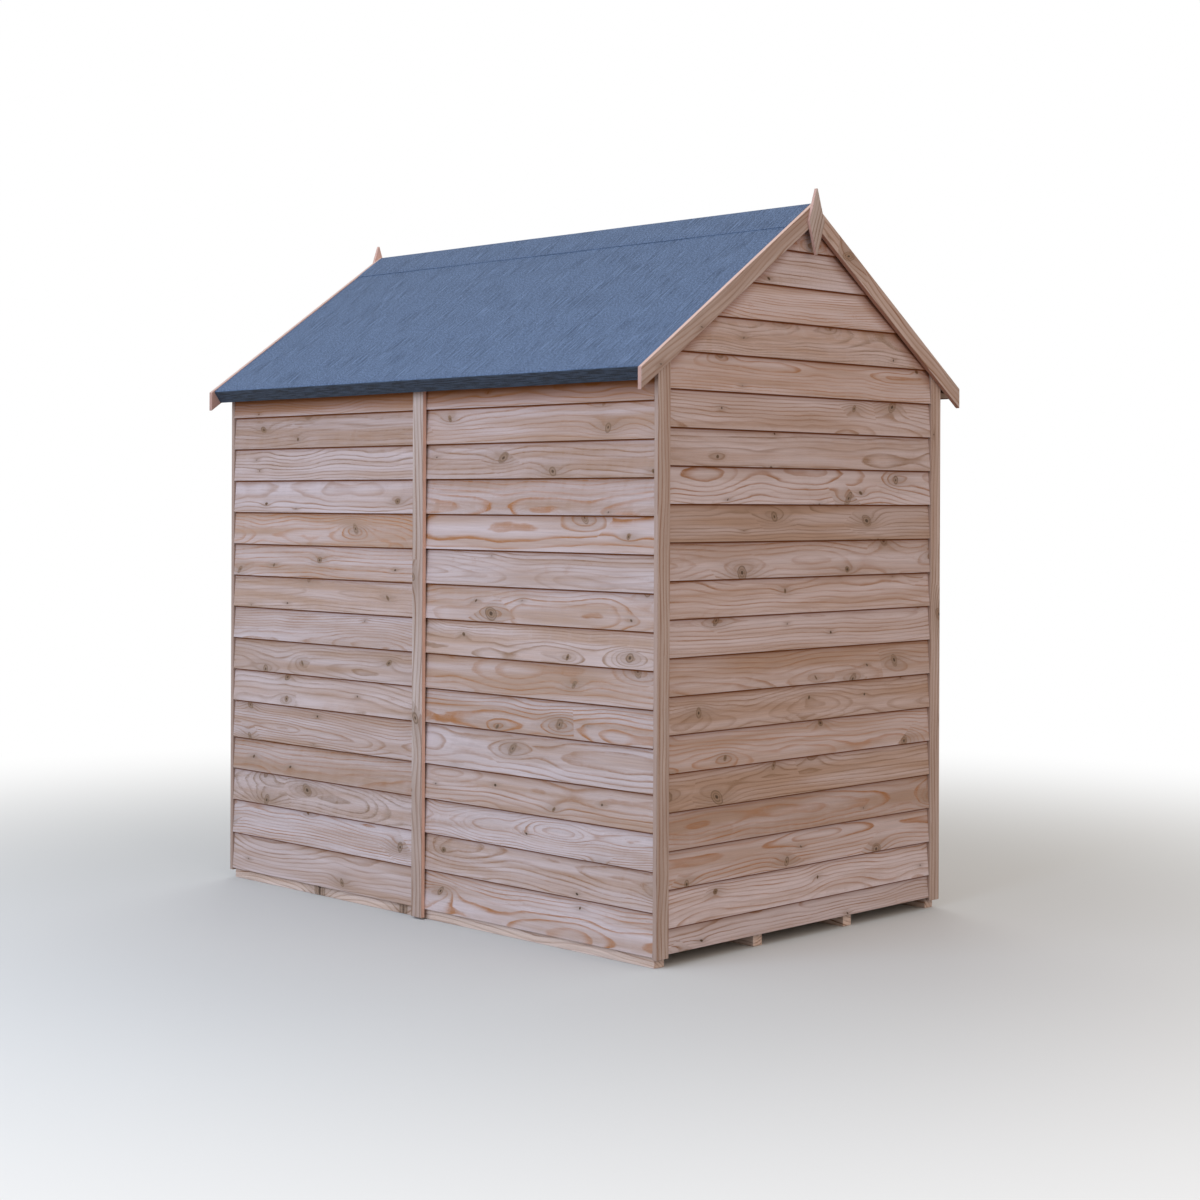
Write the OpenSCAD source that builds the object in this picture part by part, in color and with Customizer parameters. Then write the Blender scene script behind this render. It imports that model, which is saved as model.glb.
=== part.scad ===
// Apex garden shed of overlap boards on a softwood frame, with a felted roof.
// Units are millimetres. The origin is on the ground under the middle of the shed.
// +X is right as seen from the door, +Y is towards the back gable, +Z is up.

/* [Plan] */
// Width over the side boards' lower edges
gable_w = 1190; // [1120:1:1300]
// Length over the corner strips
shed_l = 1826; // [1700:1:2200]

/* [Roof] */
// Height of the felt at the ridge above the ground
ridge_h = 1973; // [1920:1:2100]
// Slope of the roof in degrees
roof_pitch = 35.26; // [32:0.01:37]
// Level overhang of the felt beyond the side boards
eave_overhang = 66; // [60:1:72]
// Thickness of the roof board
roof_board_t = 9; // [8:0.5:14]
// Thickness of the roofing felt
felt_t = 3; // [2:0.5:4]
// Depth of the eave rail below the roof board
eave_rail_d = 29; // [22:1:34]
// Width of the eave rail
eave_rail_w = 25; // [18:1:27]
// Width of the ridge felt on each slope
ridge_felt_w = 121; // [90:1:180]
// Width of the ridge beam
ridge_beam_w = 28; // [20:1:40]
// Depth of the ridge beam at its edges
ridge_beam_d = 45; // [30:1:60]

/* [Cladding] */
// Height of board that shows in one course
course_h = 97; // [88:1:106]
// Thickness of a board
board_t = 8; // [6:0.5:10]
// Width of board hidden under the board above
board_lap = 23; // [16:1:30]
// Height of the side boards' lowest edge above the ground
side_foot = 29; // [24:1:34]
// Height of the gable boards' lowest edge above the ground
gable_foot = 33; // [26:1:37]

/* [Frame] */
// Thickness of the framing battens
batten_t = 28; // [24:1:34]
// Gap between the two panels of a side wall
panel_gap = 2; // [1:0.5:5]

/* [Floor] */
// Height of a bearer
bearer_h = 40; // [34:1:50]
// Width of a bearer
bearer_w = 36; // [28:1:50]
// Setback of the outer bearers behind the side boards' lower edges
bearer_setback = 10; // [9:1:16]
// Setback of the floor's ends behind the corner strips' faces
floor_end_setback = 16; // [14:1:24]
// Thickness of the floor deck
deck_t = 10; // [9:1:16]

/* [Trim] */
// Thickness of the cover strips and barge boards
trim_t = 13.5; // [11:0.5:15]
// Distance that the corner strips stand proud of the gable boards
corner_proud = 1.5; // [0.5:0.5:4]
// Height of the corner strips' lower ends above the ground
corner_strip_foot = 23; // [12:1:40]
// Width of the strip over the joint of two side panels
side_strip_w = 44; // [34:1:60]
// Height of the side strips' lower ends above the ground
side_strip_foot = 5; // [3:1:24]
// Width of a barge board across its face
barge_w = 46; // [43:1:60]
// Level overhang of the barge boards beyond the side boards
barge_overhang = 74.5; // [72.5:0.5:90]
// Upright distance from the felt to the top of the barge boards
barge_rise = 3; // [1:0.5:6]

/* [Finials] */
// Height of a finial
finial_h = 179; // [140:1:220]
// Width of a finial where it is widest
finial_w = 64; // [45:1:80]
// Thickness of a finial
finial_t = 9.5; // [8:0.5:14]
// Height of the finial's top above the felt at the ridge
finial_rise = 41; // [25:1:60]
// Width of the finial's upper tip
finial_top_w = 3; // [2:1:12]
// Width of the finial's lower tip
finial_foot_w = 4; // [2:1:12]

/* [Door] */
// Clear width between the door studs
door_clear_w = 600; // [540:1:660]
// Height of the felt at the ridge above the door's clear opening
door_head_drop = 483; // [453:1:513]
// Lap of the door boards over the frame
door_lap = 12; // [9:1:16]
// Gap round the door
door_gap = 4; // [3:0.5:6]
// Least distance of the outer ledges' courses from the door's ends
ledge_inset = 90; // [80:1:130]
// Width of the door's ledges and braces
ledge_w = 70; // [55:1:85]
// Thickness of the door's ledges and braces
ledge_t = 20; // [15:1:24]
// Least distance of the hinges' courses from the door's ends
hinge_inset = 190; // [170:1:230]
// Length of a tee hinge's strap
hinge_strap_l = 250; // [180:1:320]
// Width of a tee hinge's strap at its root
hinge_strap_w = 28; // [20:1:36]
// Height of a tee hinge's plate
hinge_plate_h = 90; // [70:1:110]
// Width of a tee hinge's plate
hinge_plate_w = 34; // [26:1:45]
// Thickness of the hinge steel
hinge_t = 3; // [2:0.5:4]
// Radius of a hinge knuckle
knuckle_r = 5; // [4.5:0.5:7]
// Length of the turn button
button_l = 90; // [70:1:120]
// Width of the turn button
button_w = 26; // [18:1:34]
// Thickness of the turn button
button_t = 16; // [12:1:20]

/* [Hidden] */
$fn = 48;

board_wood = "#b79f92";
trim_wood = "#bda38f";
frame_wood = "#c4aa8c";
deck_board = "#b0946c";
felt_blue = "#5b6f93";
black_steel = "#26272a";

// Heights of the courses from the lowest up, as shares of a full course, which the rest are
side_course_shares = [1.153, 1.057, 1, 1, 1.18];
gable_course_shares = [0.663];
// Height of a finial's widest place as a share of its height
finial_waist_share = 0.5;
// Width of a hinge strap's tip as a share of its root
strap_tip_share = 0.4;
// Length of the turn button over the wall as a share of its length
button_wall_share = 0.6;

// Numbers of bearers, of studs in a side panel and of studs in the back gable
bearer_count = 4;
panel_studs = 3;
gable_studs = 4;

half_w = gable_w / 2;
half_l = shed_l / 2;
// Depth of the overlapped boards from the frame to their lower edges
clad_t = board_t * (2 + board_lap / course_h);
// Outer and inner faces of the side frames, and the ends of the side panels
side_frame_x = half_w - clad_t;
inner_x = side_frame_x - batten_t;
panel_end_y = half_l - trim_t;
// Face of the gable boards' lower edges, and outer and inner faces of the gable frames
gable_face_y = half_l - corner_proud;
gable_frame_y = gable_face_y - clad_t;
inner_y = gable_frame_y - batten_t;

deck_top = bearer_h + deck_t;
rail_top = deck_top + batten_t;
floor_end_y = half_l - floor_end_setback;
bearer_pitch = (gable_w - 2 * bearer_setback - bearer_w) / (bearer_count - 1);

slope = tan(roof_pitch);
roof_t = felt_t + roof_board_t;
eave_band = roof_t + eave_rail_d;
// Lengths of the felt and of the roof board from the ridge, along the slope
felt_run = (half_w + eave_overhang) / cos(roof_pitch);
board_run = felt_run - felt_t;

// Height of the door's clear opening
door_head_h = ridge_h - door_head_drop;
// Half widths of the opening in the boards and of the door, and the door's top
door_cut_half = door_clear_w / 2 + door_lap;
door_half = door_cut_half - door_gap;
door_cut_top = door_head_h + door_lap;
door_top = door_cut_top - door_gap;
ledge_half = door_clear_w / 2 - door_gap;

// Heights of the felt, the roof board's underside and the rafters' underside at distance x
function felt_z(x) = ridge_h - abs(x) * slope;
function under_z(x) = felt_z(x) - roof_t / cos(roof_pitch);
function rafter_z(x) = under_z(x) - batten_t / cos(roof_pitch);

function share_at(shares, i) = i < len(shares) ? shares[i] : 1;

// Heights of the boards' lower edges from the foot to past the top
function lip_heights(shares, foot, top) =
    [for (i = 0, z = foot; z < top + course_h; z = z + course_h * share_at(shares, i), i = i + 1)
        z];

side_lips = lip_heights(side_course_shares, side_foot, ridge_h);
gable_lips = lip_heights(gable_course_shares, gable_foot, ridge_h);

// Last course of the gable that starts at or below height z
function course_below(z) = max([for (i = [0 : len(gable_lips) - 1]) if (gable_lips[i] <= z) i]);

// Courses at whose lower edges the door's ledges, hinges and turn button sit
ledge_courses = [course_below(gable_foot + ledge_inset), course_below((gable_foot + door_top) / 2),
                 course_below(door_top - ledge_inset)];
lower_hinge_course = course_below(gable_foot + hinge_inset);
upper_hinge_course = course_below(door_top - hinge_inset);
button_course = ledge_courses[1] + 1;

// Depth at height z of the back of the board that shows from low to high
function back_depth(low, high, z) =
    (clad_t - board_t) * (high + board_lap - z) / (high + board_lap - low);

// Section of the overlapped boards as depths and heights, stepped in front and behind
function clad_section(lips) =
    let (last = len(lips) - 1)
    concat(
        [for (i = [0 : last - 1]) each [[clad_t, lips[i]], [clad_t - board_t, lips[i + 1]]]],
        [for (i = [last - 1 : -1 : 0])
            let (head = min(lips[i + 1] + board_lap, lips[last]),
                 foot = i == 0 ? lips[i] : lips[i] + board_lap)
            each [[back_depth(lips[i], lips[i + 1], head), head],
                  [back_depth(lips[i], lips[i + 1], foot), foot]]]
    );

// Solid with a section of x and z, from y0 to y1
module along_y(section, y0, y1) {
    translate([0, y1, 0]) rotate([90, 0, 0]) linear_extrude(y1 - y0) polygon(section);
}

// Solid with a section of y and z, from x0 to x1
module along_x(section, x0, x1) {
    translate([x0, 0, 0]) rotate([90, 0, 90]) linear_extrude(x1 - x0) polygon(section);
}

// Box from one corner to the other
module block(low, high) {
    translate(low) cube(high - low);
}

module on_left() {
    mirror([1, 0, 0]) children();
}

module on_front() {
    mirror([0, 1, 0]) children();
}

// Everything below the right roof board, from x0 to x1 and from z0 up
module below_roof(x0, x1, z0, y0, y1) {
    along_y([[x0, z0], [x1, z0], [x1, under_z(x1)], [x0, under_z(x0)]], y0, y1);
}

// Floor
module floor_bearers() {
    color(frame_wood) for (i = [0 : bearer_count - 1]) {
        x = bearer_setback - half_w + i * bearer_pitch;
        block([x, -floor_end_y, 0], [x + bearer_w, floor_end_y, bearer_h]);
    }
}

module floor_deck() {
    color(deck_board)
        block([-side_frame_x, -floor_end_y, bearer_h], [side_frame_x, floor_end_y, deck_top]);
}

// Right side wall, whose mirror image is the left one
module side_cladding(y0, y1) {
    color(board_wood) intersection() {
        along_y([for (p = clad_section(side_lips)) [side_frame_x + p[0], p[1]]], y0, y1);
        below_roof(side_frame_x, half_w, 0, y0, y1);
    }
}

module side_back_cladding() {
    side_cladding(panel_gap / 2, panel_end_y);
}

module side_front_cladding() {
    side_cladding(-panel_end_y, -panel_gap / 2);
}

top_rail_foot = under_z(side_frame_x) - batten_t;
stud_pitch = (panel_end_y - panel_gap / 2 - batten_t) / (panel_studs - 1);

module side_studs() {
    color(frame_wood) for (i = [0 : panel_studs - 1]) {
        y = panel_gap / 2 + i * stud_pitch;
        block([inner_x, y, rail_top], [side_frame_x, y + batten_t, top_rail_foot]);
        block([inner_x, -y - batten_t, rail_top], [side_frame_x, -y, top_rail_foot]);
    }
}

module side_panel_rails(y0, y1) {
    block([inner_x, y0, deck_top], [side_frame_x, y1, rail_top]);
    below_roof(inner_x, side_frame_x, top_rail_foot, y0, y1);
}

module side_rails() {
    color(frame_wood) {
        side_panel_rails(panel_gap / 2, panel_end_y);
        side_panel_rails(-panel_end_y, -panel_gap / 2);
    }
}

module side_cover_strip() {
    color(trim_wood)
        below_roof(half_w, half_w + trim_t, side_strip_foot, -side_strip_w / 2, side_strip_w / 2);
}

// Back gable, whose frame the front gable shares in part
module gable_boards() {
    section = [for (p = clad_section(gable_lips)) [gable_frame_y + p[0], p[1]]];
    color(board_wood) along_x(section, -inner_x, inner_x);
}

module back_gable_cladding() {
    intersection() {
        gable_boards();
        along_y([[-inner_x, 0], [inner_x, 0], [inner_x, under_z(inner_x)], [0, under_z(0)],
                 [-inner_x, under_z(inner_x)]], gable_frame_y, gable_face_y);
    }
}

// Upright of the gable frame from x to one batten further out
module gable_stud(x) {
    outer = x + batten_t;
    along_y([[x, rail_top], [outer, rail_top], [outer, rafter_z(outer)], [x, rafter_z(x)]],
            inner_y, gable_frame_y);
}

module both_sides() {
    children();
    on_left() children();
}

module back_gable_studs() {
    first = inner_x - batten_t;
    pitch = 2 * (inner_x - batten_t / 2) / (gable_studs - 1);
    color(frame_wood) both_sides() for (x = [first : -pitch : 0]) gable_stud(x);
}

module back_gable_rail() {
    color(frame_wood) block([-inner_x, inner_y, deck_top], [inner_x, gable_frame_y, rail_top]);
}

module gable_rafters() {
    color(frame_wood) both_sides()
        along_y([[panel_gap / 2, rafter_z(panel_gap / 2)], [inner_x, rafter_z(inner_x)],
                 [inner_x, under_z(inner_x)], [panel_gap / 2, under_z(panel_gap / 2)]],
                inner_y, gable_frame_y);
}

// Front gable, drawn at the back and mirrored to the front
module door_side_cladding() {
    intersection() {
        gable_boards();
        below_roof(door_cut_half, inner_x, 0, gable_frame_y, gable_face_y);
    }
}

module door_head_cladding() {
    on_front() intersection() {
        gable_boards();
        along_y([[-door_cut_half, door_cut_top], [door_cut_half, door_cut_top],
                 [door_cut_half, under_z(door_cut_half)], [0, under_z(0)],
                 [-door_cut_half, under_z(door_cut_half)]], gable_frame_y, gable_face_y);
    }
}

module front_gable_studs() {
    color(frame_wood) on_front() both_sides() {
        gable_stud(door_clear_w / 2);
        gable_stud(inner_x - batten_t);
    }
}

module front_gable_rails() {
    on_front() back_gable_rail();
    color(frame_wood) on_front()
        block([-door_clear_w / 2, inner_y, door_head_h],
              [door_clear_w / 2, gable_frame_y, door_head_h + batten_t]);
}

// Corner strip of the back right corner
module corner_strip() {
    color(trim_wood) below_roof(inner_x, half_w, corner_strip_foot, panel_end_y, half_l);
}

// Door, drawn at the back and mirrored to the front
module door_boards() {
    on_front() intersection() {
        gable_boards();
        block([-door_half, gable_frame_y, 0], [door_half, gable_face_y, door_top]);
    }
}

// Lower edge of a ledge, set so that the ledge backs a board's upper edge
function ledge_z(course) = gable_lips[course] + board_lap - ledge_w / 2;

module door_ledges() {
    color(frame_wood) on_front() for (course = ledge_courses)
        block([-ledge_half, gable_frame_y - ledge_t, ledge_z(course)],
              [ledge_half, gable_frame_y, ledge_z(course) + ledge_w]);
}

module door_braces() {
    color(frame_wood) on_front() for (i = [0 : len(ledge_courses) - 2]) {
        low = ledge_z(ledge_courses[i]) + ledge_w;
        high = ledge_z(ledge_courses[i + 1]);
        along_y([[-ledge_half, low], [ledge_w - ledge_half, low], [ledge_half, high],
                 [ledge_half - ledge_w, high]], gable_frame_y - ledge_t, gable_frame_y);
    }
}

// Tee hinge at the left edge of the door, centred at height z
module tee_hinge(z) {
    pin_x = door_gap / 2 - door_cut_half;
    tip = hinge_strap_w * strap_tip_share;
    color(black_steel) on_front() union() {
        block([pin_x - hinge_plate_w, gable_face_y, z - hinge_plate_h / 2],
              [pin_x, gable_face_y + hinge_t, z + hinge_plate_h / 2]);
        along_y([[pin_x, z - hinge_strap_w / 2], [pin_x + hinge_strap_l, z - tip / 2],
                 [pin_x + hinge_strap_l, z + tip / 2], [pin_x, z + hinge_strap_w / 2]],
                gable_face_y, gable_face_y + hinge_t);
        translate([pin_x, gable_face_y + knuckle_r, z - hinge_plate_h / 2])
            cylinder(r = knuckle_r, h = hinge_plate_h);
    }
}

module door_turn_button() {
    x0 = door_cut_half - button_l * (1 - button_wall_share);
    z = gable_lips[button_course];
    color(trim_wood) on_front() block([x0, gable_face_y, z - button_w / 2],
                                      [x0 + button_l, gable_face_y + button_t, z + button_w / 2]);
}

// Right roof slope, whose mirror image is the left one: x runs down the slope, z square to it
module on_slope() {
    translate([0, 0, ridge_h]) rotate([0, roof_pitch, 0]) children();
}

module roof_board() {
    color(deck_board) on_slope()
        along_y([[felt_t * slope, -felt_t], [board_run, -felt_t],
                 [board_run, -roof_t], [roof_t * slope, -roof_t]], -half_l, half_l);
}

module eave_rail() {
    color(frame_wood) on_slope()
        block([board_run - eave_rail_w, -half_l, -eave_band], [board_run, half_l, -roof_t]);
}

module roof_felt() {
    color(felt_blue) on_slope()
        along_y([[0, 0], [felt_run, 0], [felt_run, -eave_band], [board_run, -eave_band],
                 [board_run, -felt_t], [felt_t * slope, -felt_t]], -half_l, half_l);
}

module ridge_felt() {
    reach_x = ridge_felt_w * cos(roof_pitch);
    edge_x = reach_x + felt_t * sin(roof_pitch);
    edge_z = felt_z(reach_x) + felt_t * cos(roof_pitch);
    color(felt_blue)
        along_y([[0, ridge_h], [reach_x, felt_z(reach_x)], [edge_x, edge_z],
                 [0, ridge_h + felt_t / cos(roof_pitch)], [-edge_x, edge_z], [-reach_x, felt_z(reach_x)]],
                -half_l, half_l);
}

module ridge_beam() {
    edge = ridge_beam_w / 2;
    foot = under_z(edge) - ridge_beam_d;
    color(frame_wood)
        along_y([[-edge, foot], [edge, foot], [edge, under_z(edge)], [0, under_z(0)],
                 [-edge, under_z(edge)]], -inner_y, inner_y);
}

// Barge board of the back right slope
module barge_board() {
    end_x = half_w + barge_overhang;
    drop = barge_w / cos(roof_pitch);
    top = ridge_h + barge_rise;
    color(trim_wood)
        along_y([[0, top - drop], [end_x, top - drop - end_x * slope],
                 [end_x, top - end_x * slope], [0, top]], half_l, half_l + trim_t);
}

module back_finial() {
    top = ridge_h + finial_rise;
    foot = top - finial_h;
    waist = foot + finial_h * finial_waist_share;
    color(trim_wood)
        along_y([[-finial_foot_w / 2, foot], [finial_foot_w / 2, foot], [finial_w / 2, waist],
                 [finial_top_w / 2, top], [-finial_top_w / 2, top], [-finial_w / 2, waist]],
                half_l + trim_t, half_l + trim_t + finial_t);
}

floor_bearers();
floor_deck();
on_left() side_front_cladding();  // left_front_cladding
on_left() side_back_cladding();  // left_back_cladding
side_front_cladding();  // right_front_cladding
side_back_cladding();  // right_back_cladding
on_left() side_studs();  // left_wall_studs
side_studs();  // right_wall_studs
on_left() side_rails();  // left_wall_rails
side_rails();  // right_wall_rails
on_left() side_cover_strip();  // left_cover_strip
side_cover_strip();  // right_cover_strip
back_gable_cladding();
back_gable_studs();
back_gable_rail();
gable_rafters();  // back_gable_rafters
on_front() on_left() door_side_cladding();  // door_left_cladding
on_front() door_side_cladding();  // door_right_cladding
door_head_cladding();
front_gable_studs();
front_gable_rails();
on_front() gable_rafters();  // front_gable_rafters
on_front() on_left() corner_strip();  // front_left_corner_strip
on_front() corner_strip();  // front_right_corner_strip
on_left() corner_strip();  // back_left_corner_strip
corner_strip();  // back_right_corner_strip
door_boards();
door_ledges();
door_braces();
tee_hinge(gable_lips[upper_hinge_course]);  // upper_door_hinge
tee_hinge(gable_lips[lower_hinge_course]);  // lower_door_hinge
door_turn_button();
on_left() roof_board();  // left_roof_board
roof_board();  // right_roof_board
on_left() eave_rail();  // left_eave_rail
eave_rail();  // right_eave_rail
ridge_beam();
on_left() roof_felt();  // left_roof_felt
roof_felt();  // right_roof_felt
ridge_felt();
on_front() on_left() barge_board();  // front_left_barge_board
on_front() barge_board();  // front_right_barge_board
on_left() barge_board();  // back_left_barge_board
barge_board();  // back_right_barge_board
on_front() back_finial();  // front_finial
back_finial();
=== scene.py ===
# %% [markdown]
# # A garden shed of overlap boards
#
# The shed's solids come from the part's own source, packed as a fixed frame in metres. This lesson
# gives each of them the surface of the real piece: planed boards with grain and knots, a roof of
# slate blue felt, sawn framing and black steel hinges. Every step says what the piece is on the
# real shed, how it could be made and why it was made this way.

import math
import random

import bmesh
import bpy
from mathutils import Matrix, Vector, noise


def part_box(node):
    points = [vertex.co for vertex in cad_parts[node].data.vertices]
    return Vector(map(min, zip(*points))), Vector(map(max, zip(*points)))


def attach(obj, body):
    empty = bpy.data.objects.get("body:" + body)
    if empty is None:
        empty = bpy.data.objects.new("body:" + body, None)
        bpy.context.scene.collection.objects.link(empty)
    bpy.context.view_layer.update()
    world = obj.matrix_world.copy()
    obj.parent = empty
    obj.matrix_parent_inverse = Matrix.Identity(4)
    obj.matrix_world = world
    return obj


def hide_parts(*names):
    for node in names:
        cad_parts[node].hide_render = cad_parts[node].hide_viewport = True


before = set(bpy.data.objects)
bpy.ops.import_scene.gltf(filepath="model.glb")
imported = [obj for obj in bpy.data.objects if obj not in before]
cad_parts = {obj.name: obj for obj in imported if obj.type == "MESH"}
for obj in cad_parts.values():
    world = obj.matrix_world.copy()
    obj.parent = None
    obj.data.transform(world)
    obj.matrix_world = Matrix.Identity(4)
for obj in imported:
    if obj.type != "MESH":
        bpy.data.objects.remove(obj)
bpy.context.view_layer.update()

# %% [markdown]
# ## Camera
#
# The shed is seen from beyond its back right corner, from about chest height. All its uprights are
# upright in the picture, so the camera is level and its frame is shifted down: a tilted camera
# would make the walls lean together. The lens and place were worked out from the shed's edges.

# %% Camera
PICTURE_PX = 1200
FOCAL_PX = 2090.65
HORIZON_PX = 503.88
CAMERA_PLACE = (4.3843, 4.4982, 1.1636)
CAMERA_HEADING = math.radians(135)
CAMERA_ROLL = math.radians(0.2206)

scene = bpy.context.scene
camera_data = bpy.data.cameras.new("camera")
camera_data.sensor_width = 36
camera_data.lens = camera_data.sensor_width * FOCAL_PX / PICTURE_PX
camera_data.shift_y = HORIZON_PX / PICTURE_PX - 0.5
camera = bpy.data.objects.new("camera", camera_data)
scene.collection.objects.link(camera)
camera.matrix_world = (
    Matrix.Translation(CAMERA_PLACE)
    @ Matrix.Rotation(CAMERA_HEADING, 4, "Z")
    @ Matrix.Rotation(math.radians(90), 4, "X")
    @ Matrix.Rotation(CAMERA_ROLL, 4, "Z")
)
scene.camera = camera
print("lens of", round(camera_data.lens, 2), "mm, shift", round(camera_data.shift_y, 4))

# %% [markdown]
# ## Colours and nodes
#
# Colours are written as sRGB hex, as a picture editor shows them, and turned to the linear values
# that shaders work in. One small function adds any shader node with its settings and its links.


# %% Helpers for materials
def linear(hex_colour):
    """An sRGB hex colour as linear red, green, blue and a full alpha."""
    channels = [int(hex_colour[i:i + 2], 16) / 255 for i in (1, 3, 5)]
    return [c / 12.92 if c <= 0.04045 else ((c + 0.055) / 1.055) ** 2.4 for c in channels] + [1]


def add(tree, kind, inputs=(), **settings):
    """Adds a shader node. Its inputs are values, sockets or nodes, by order or by name."""
    node = tree.nodes.new("ShaderNode" + kind)
    for setting, value in settings.items():
        setattr(node, setting, value)
    sockets = [socket for socket in node.inputs if socket.enabled]
    if isinstance(inputs, dict):
        pairs = [(node.inputs[name], value) for name, value in inputs.items()]
    else:
        pairs = list(zip(sockets, inputs))
    for socket, value in pairs:
        if isinstance(value, bpy.types.Node):
            value = next(output for output in value.outputs if output.enabled)
        if isinstance(value, bpy.types.NodeSocket):
            tree.links.new(value, socket)
        else:
            socket.default_value = value
    return node


def new_material(name):
    """An empty material and its node tree."""
    material = bpy.data.materials.new(name)
    material.use_nodes = True
    material.node_tree.nodes.clear()
    return material, material.node_tree


print("the sRGB grey #808080 is", round(linear("#808080")[0], 3), "in linear light")

# %% [markdown]
# ## Planed softwood
#
# The boards are planed spruce or fir, left untreated. A tree is a stack of cones, one a year: each
# ring is pale early wood that ends in a warm line of late wood. A board sawn off centre cuts those
# rings at a shallow angle, which gives long arches, and a knot is a branch that the rings flow
# round. So the grain is worked out as a solid: the distance of each point from the tree's middle,
# swayed by noise and pushed aside by knots, cut into rings. A flat picture of grain could be
# wrapped on, but a solid one runs on over edges and ends, as in real timber. Each board carries its
# own coordinates in metres along, across and into it, and a seed that moves it to another place in
# another tree.

# %% Waves in the grain
# Sizes of the waves in millimetres, along, across and into the board
GRAIN_WAVES = {
    "taper": (470, 5000, 5000),
    "drift": (900, 5000, 5000),
    "sway": (260, 60, 60),
    "ripple": (48, 13, 13),
    "cloud": (560, 30, 30),
    "fade": (170, 26, 26),
    "fibre": (110, 2.4, 2.4),
}
# A board's seed times these numbers moves it to its own stretch of each wave
SEED_SHIFT = (3.1, 1.7, 2.3)
# Framing hardly shows, so one seed serves for this many metres of it
FRAMING_SEED = 3.0


def board_place(tree, along):
    """A point's place in its board in millimetres, the board's seed and a shift that follows it."""
    if along is None:
        place = add(tree, "Attribute", attribute_name="grain").outputs["Vector"]
        seed = add(tree, "Attribute", attribute_name="seed").outputs["Fac"]
    else:
        axes = add(tree, "SeparateXYZ", [add(tree, "TexCoord").outputs["Object"]])
        order = {"X": "XZY", "Y": "YZX", "Z": "ZXY"}[along]
        place = add(tree, "CombineXYZ", [axes.outputs[axis] for axis in order]).outputs[0]
        seed = add(tree, "Math", [axes.outputs[order[1]], FRAMING_SEED], operation="SNAP").outputs[0]
    in_mm = add(tree, "VectorMath", {"Vector": place, "Scale": 1000}, operation="SCALE")
    away = add(tree, "CombineXYZ", [seed, seed, seed])
    shift = add(tree, "VectorMath", [away, SEED_SHIFT], operation="MULTIPLY")
    return in_mm, seed, shift


def grain_waves(tree, in_mm, shift):
    """The noise of each wave, by its name."""
    waves = {}
    for name, size in GRAIN_WAVES.items():
        scaled = add(tree, "VectorMath", [in_mm, [1 / s for s in size]], operation="MULTIPLY")
        moved = add(tree, "VectorMath", [scaled, shift], operation="ADD")
        waves[name] = add(tree, "TexNoise", {"Vector": moved, "Scale": 1, "Detail": 1.5})
    return waves


print("waves in the grain:", ", ".join(GRAIN_WAVES))

# %% [markdown]
# ### Knots
#
# A small knot is a dark pin, and a large one is a paler eye with rings of its own, a dark rim and
# a dark heart. Cells of a flat Voronoi pattern give one place a cell, and each cell's own chances
# say whether a knot is there, how large it is and how it leans. Spots of noise could be knots too,
# but they have no middle to draw rings round.

# %% Knots
# Spacing along and across a board in millimetres, and the share of places without a knot
KNOT_SPACING = (200, 100)
KNOTLESS = 0.38
# Least and greatest radius in millimetres, and a power that makes most knots small
KNOT_RADII = (2.0, 20)
KNOT_GROWTH = 2.6
# How far a knot leans, how much it is squashed, how ragged it is and the depth of its own rings
KNOT_LEAN = (-0.7, 0.7)
KNOT_SQUASH = (0.7, 1.5)
KNOT_RAGGED = 8.0
KNOT_RING = 3.5


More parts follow.
